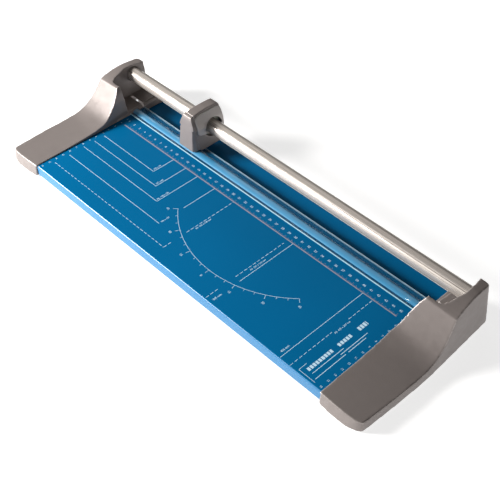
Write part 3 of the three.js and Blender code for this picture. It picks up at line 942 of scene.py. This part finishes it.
class Print:
    """Collects the strokes and figures of one ink, then joins them into one thin mesh."""

    def __init__(self):
        self.build = bmesh.new()

    def stroke(self, start, end, width=LINE):
        """A flat bar from start to end, as thick as the film of ink."""
        start = Vector(start)
        end = Vector(end)
        across = (end - start).orthogonal().normalized() * (width / 2)
        corners = [start - across, end - across, end + across, start + across]
        bottom = [self.build.verts.new(point(x, y, INK["bottom"])) for x, y in corners]
        top = [self.build.verts.new(point(x, y, INK["top"])) for x, y in corners]
        self.build.faces.new(bottom[::-1])
        self.build.faces.new(top)
        for i in range(len(corners)):
            k = (i + 1) % len(corners)
            self.build.faces.new((bottom[i], bottom[k], top[k], top[i]))

    def line(self, start, end, dashed=False):
        if not dashed:
            self.stroke(start, end)
            return
        start = Vector(start)
        length = (Vector(end) - start).length
        along = (Vector(end) - start).normalized()
        done = 0
        while done < length:
            dash_end = min(length, done + DASH["length"])
            self.stroke(start + along * done, start + along * dash_end)
            done += DASH["length"] + DASH["gap"]

    def curve(self, points, width):
        for a, b in zip(points, points[1:]):
            self.stroke(a, b, width)

    def text(self, words, x, y, height, turned=False):
        """Figures centred on x, y. Turned figures read towards the rear."""
        font = bpy.data.curves.new("figures", "FONT")
        font.body = words
        font.size = height * FIGURES["size"] * MM
        font.align_x = "CENTER"
        font.align_y = "CENTER"
        font.extrude = (INK["top"] - INK["bottom"]) / 2 * MM
        font.offset = FIGURES["weight"] * MM
        mesh = evaluated(linked("figures", font))
        place = point(x, y, (INK["top"] + INK["bottom"]) / 2)
        for vertex in mesh.vertices:
            a, b, c = vertex.co
            vertex.co = place + (Vector((-b, a, c)) if turned else Vector((a, b, c)))
        self.build.from_mesh(mesh)

    def finish(self, name, material):
        mesh = bpy.data.meshes.new(name)
        bmesh.ops.remove_doubles(self.build, verts=self.build.verts, dist=SAME_PLACE)
        stored(self.build, mesh)
        piece(name, mesh, "base", "blue_paint", material=material)


def mark_length(place, marks):
    """Length of the mark at a place on a scale: that of the first step that divides the place."""
    return next(length for step, length in marks if place % step == 0)


def print_scale(white, grey):
    start, end = SCALE["ends"]
    grey.stroke((start, BASE_LINE), (end, BASE_LINE), SCALE["rule"])
    for millimetre in range(SCALE["first"], SCALE["last"] + 1):
        top = BASE_LINE + mark_length(millimetre, TICKS)
        grey.stroke((millimetre, BASE_LINE), (millimetre, top), SCALE["tick"])
    for centimetre in range(1, SCALE_FIGURES["last"] + 1):
        white.text(str(centimetre), centimetre * 10, SCALE_FIGURES["y"], SCALE_FIGURES["height"])


def print_side_scales(white):
    for x in SIDE_FIGURES["x"]:
        for centimetre in range(SIDE_FIGURES["first"], SIDE_FIGURES["last"] + 1):
            y = -10 * centimetre - SIDE_FIGURES["drop"]
            white.text(str(centimetre), x, y, SIDE_FIGURES["height"])


def print_formats(white):
    """Corner lines for paper formats, and lines right across the table for the long ones."""
    for width, depth, dashed, label, place, stretches in FORMATS:
        white.line((FORMAT_LEFT, -depth), (width, -depth), dashed)
        white.text(label, *place, LABEL_HEIGHT, turned=True)
        for start, end in stretches:
            white.line((width, start), (width, end), dashed)
    for x, dashed, stretches in LONG_LINES:
        for start, end in stretches:
            white.line((x, start), (x, end), dashed)
    for label, x, y, height in LONG_LABELS:
        white.text(label, x, y, height, turned=True)


def print_protractor(white):
    """An arc about a point on the cutting line, with a mark every 5 degrees and figures every 15."""
    limit = PROTRACTOR["limit"]
    radius = PROTRACTOR["radius"]
    centre = Vector((PROTRACTOR["x"], 0))
    share = limit / 180
    white.curve(arc(centre, radius, -0.5 - share, -0.5 + share, PROTRACTOR["steps"]), PROTRACTOR["line"])
    figure_step, tick_step = (step for step, length in PROTRACTOR["marks"])
    for degrees in range(-limit, limit + 1, tick_step):
        a = math.radians(degrees - 90)
        out = Vector((math.cos(a), math.sin(a)))
        length = mark_length(degrees, PROTRACTOR["marks"])
        white.stroke(centre + out * radius, centre + out * (radius + length), PROTRACTOR["mark"])
        if degrees % figure_step == 0:
            x, y = centre + out * PROTRACTOR["numbers"]
            white.text(str(abs(degrees)), x, y, PROTRACTOR["height"])


def print_panel(white):
    """A plain data panel: a corner, three rows of blocks and thin rules, with no lettering."""
    white.curve(PANEL["corner"], PANEL["corner_line"])
    x = PANEL["blocks_x"]
    for start, end, width in PANEL["blocks"]:
        for y in range(start, end, PANEL["pitch"]):
            white.stroke((x, y), (x, min(end, y + PANEL["block"])), width)
    for x, start, end in PANEL["rules"]:
        white.stroke((x, start), (x, end), PANEL["rule_line"])


def make_printing():
    white = Print()
    grey = Print()
    print_scale(white, grey)
    print_side_scales(white)
    print_formats(white)
    print_protractor(white)
    print_panel(white)
    white.finish("table_printing", WHITE_INK)
    grey.finish("table_scale_lines", SCALE_INK)


# ---------------------------------------------------------------- scene

bpy.context.scene.view_settings.view_transform = "Standard"
make_camera()
make_world()
make_floor(pale_floor())
for light in LIGHTS:
    make_light(*light)

make_table()
make_studs()
make_channel()
make_rail()
make_strip()
make_mouldings()
make_hood_plates()
make_feet()
make_blade()
make_printing()
dress_cad_nodes()
